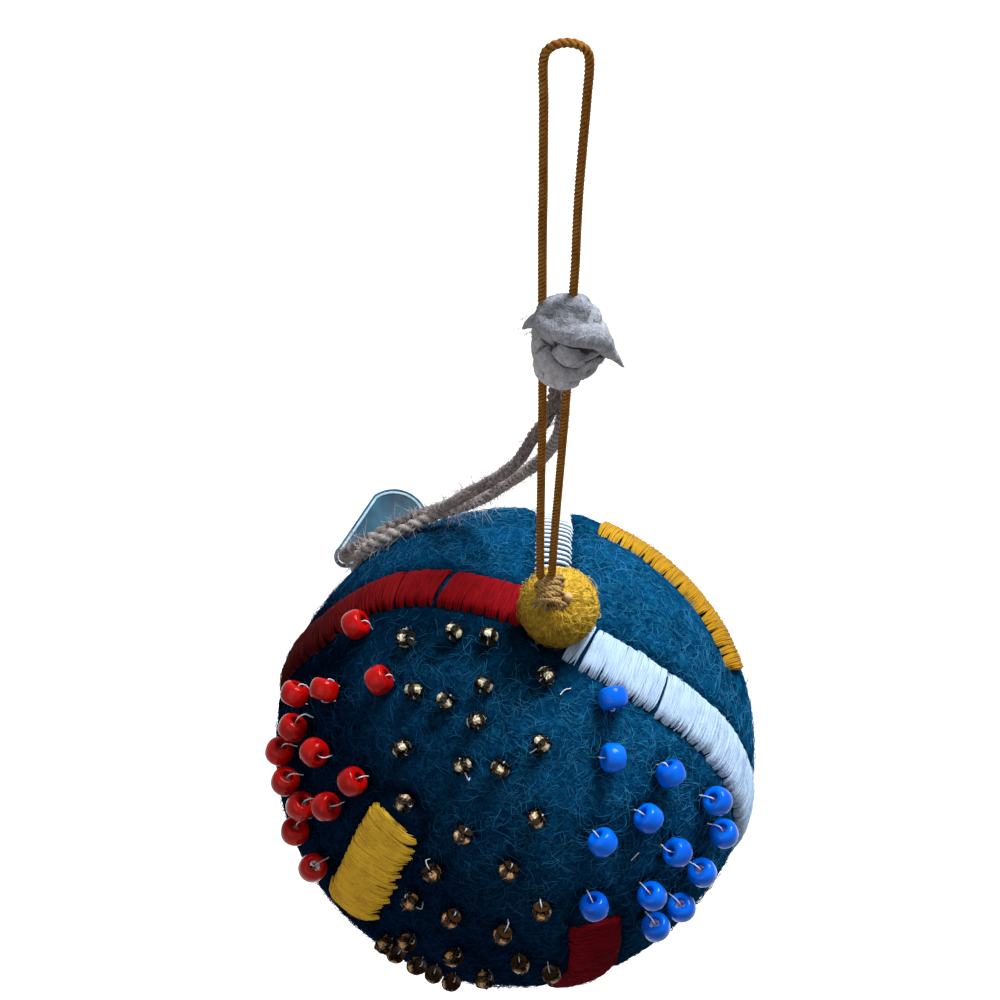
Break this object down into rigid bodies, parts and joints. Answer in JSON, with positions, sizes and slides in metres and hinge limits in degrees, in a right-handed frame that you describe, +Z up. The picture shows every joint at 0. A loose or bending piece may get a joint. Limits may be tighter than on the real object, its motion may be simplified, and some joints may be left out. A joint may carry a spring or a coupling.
{
  "type": "felt christmas ornament",
  "caption": "Round felt ornament with satin stitched bands and sewn glass beads, hung from a cord loop on a small felt pompom, with a yarn-tied tag.",
  "frame": {"origin": "middle of the cord at the top of the hanging loop", "axes": "+Z up along the hanging cord, -Y towards the front that the picture shows, +X to the right of it"},
  "size_m": [0.0607, 0.066, 0.1612],
  "materials": {
    "teal_felt": "dark teal wool felt, fuzzy",
    "wool_core": "undyed wool, packed",
    "ochre_felt": "ochre wool felt, fuzzy",
    "ochre_thread": "cotton thread",
    "gold_cord": "twisted waxed cord, golden brown",
    "grey_wool": "grey wool yarn, fuzzy",
    "brown_yarn": "grey-brown two-ply wool yarn, fuzzy",
    "blue_tag": "glossy, blank",
    "red_thread": "satin stitched stranded cotton",
    "dark_red_thread": "satin stitched stranded cotton",
    "white_thread": "satin stitched stranded cotton",
    "yellow_thread": "satin stitched stranded cotton",
    "silver_thread": "metallic silver thread",
    "red_glass": "opaque glossy glass",
    "blue_glass": "opaque glossy glass",
    "gold_glass": "transparent gold-brown glass with a silvered hole"
  },
  "bodies": {
    "loop": {"hanging_loop": "gold_cord"},
    "knot": {"wool_knot": "grey_wool", "cord_leg_left": "gold_cord", "cord_leg_right": "gold_cord"},
    "ball": {"core_ball": "wool_core", "felt_cover": "teal_felt", "anchor_thread": "ochre_thread", "pompom": "ochre_felt", "cord_hitch": "gold_cord", "band_red": "red_thread", "band_white": "white_thread", "band_silver": "silver_thread", "band_yellow_upper": "yellow_thread", "band_yellow_lower": "yellow_thread", "band_dark_red": "dark_red_thread", "red_bead_01": "red_glass", "red_bead_02": "red_glass", "red_bead_03": "red_glass", "red_bead_04": "red_glass", "red_bead_05": "red_glass", "red_bead_06": "red_glass", "red_bead_07": "red_glass", "red_bead_08": "red_glass", "red_bead_09": "red_glass", "red_bead_10": "red_glass", "red_bead_11": "red_glass", "red_bead_12": "red_glass", "red_bead_13": "red_glass", "red_bead_14": "red_glass", "blue_bead_01": "blue_glass", "blue_bead_02": "blue_glass", "blue_bead_03": "blue_glass", "blue_bead_04": "blue_glass", "blue_bead_05": "blue_glass", "blue_bead_06": "blue_glass", "blue_bead_07": "blue_glass", "blue_bead_08": "blue_glass", "blue_bead_09": "blue_glass", "blue_bead_10": "blue_glass", "blue_bead_11": "blue_glass", "blue_bead_12": "blue_glass", "blue_bead_13": "blue_glass", "gold_bead_01": "gold_glass", "gold_bead_02": "gold_glass", "gold_bead_03": "gold_glass", "gold_bead_04": "gold_glass", "gold_bead_05": "gold_glass", "gold_bead_06": "gold_glass", "gold_bead_07": "gold_glass", "gold_bead_08": "gold_glass", "gold_bead_09": "gold_glass", "gold_bead_10": "gold_glass", "gold_bead_11": "gold_glass", "gold_bead_12": "gold_glass", "gold_bead_13": "gold_glass", "gold_bead_14": "gold_glass", "gold_bead_15": "gold_glass", "gold_bead_16": "gold_glass", "tag_yarn": "brown_yarn"},
    "tag": {"tag": "blue_tag"}
  },
  "joints": [
    {"name": "loop_twist", "type": "hinge", "parent": "loop", "child": "knot", "pos_m": [-0.0003, 0, -0.0388], "axis": [0, 0, 1], "range_deg": [-180, 180]},
    {"name": "ball_swing", "type": "hinge", "parent": "knot", "child": "ball", "pos_m": [-0.00085, 0, -0.0888], "axis": [1, 0, 0], "range_deg": [-60, 60], "deforming": ["tag_yarn"]},
    {"name": "tag_swing", "type": "hinge", "parent": "ball", "child": "tag", "pos_m": [-0.02636, 0.029, -0.12965], "axis": [0, -0.5, 0.866], "range_deg": [0, 170]}
  ]
}
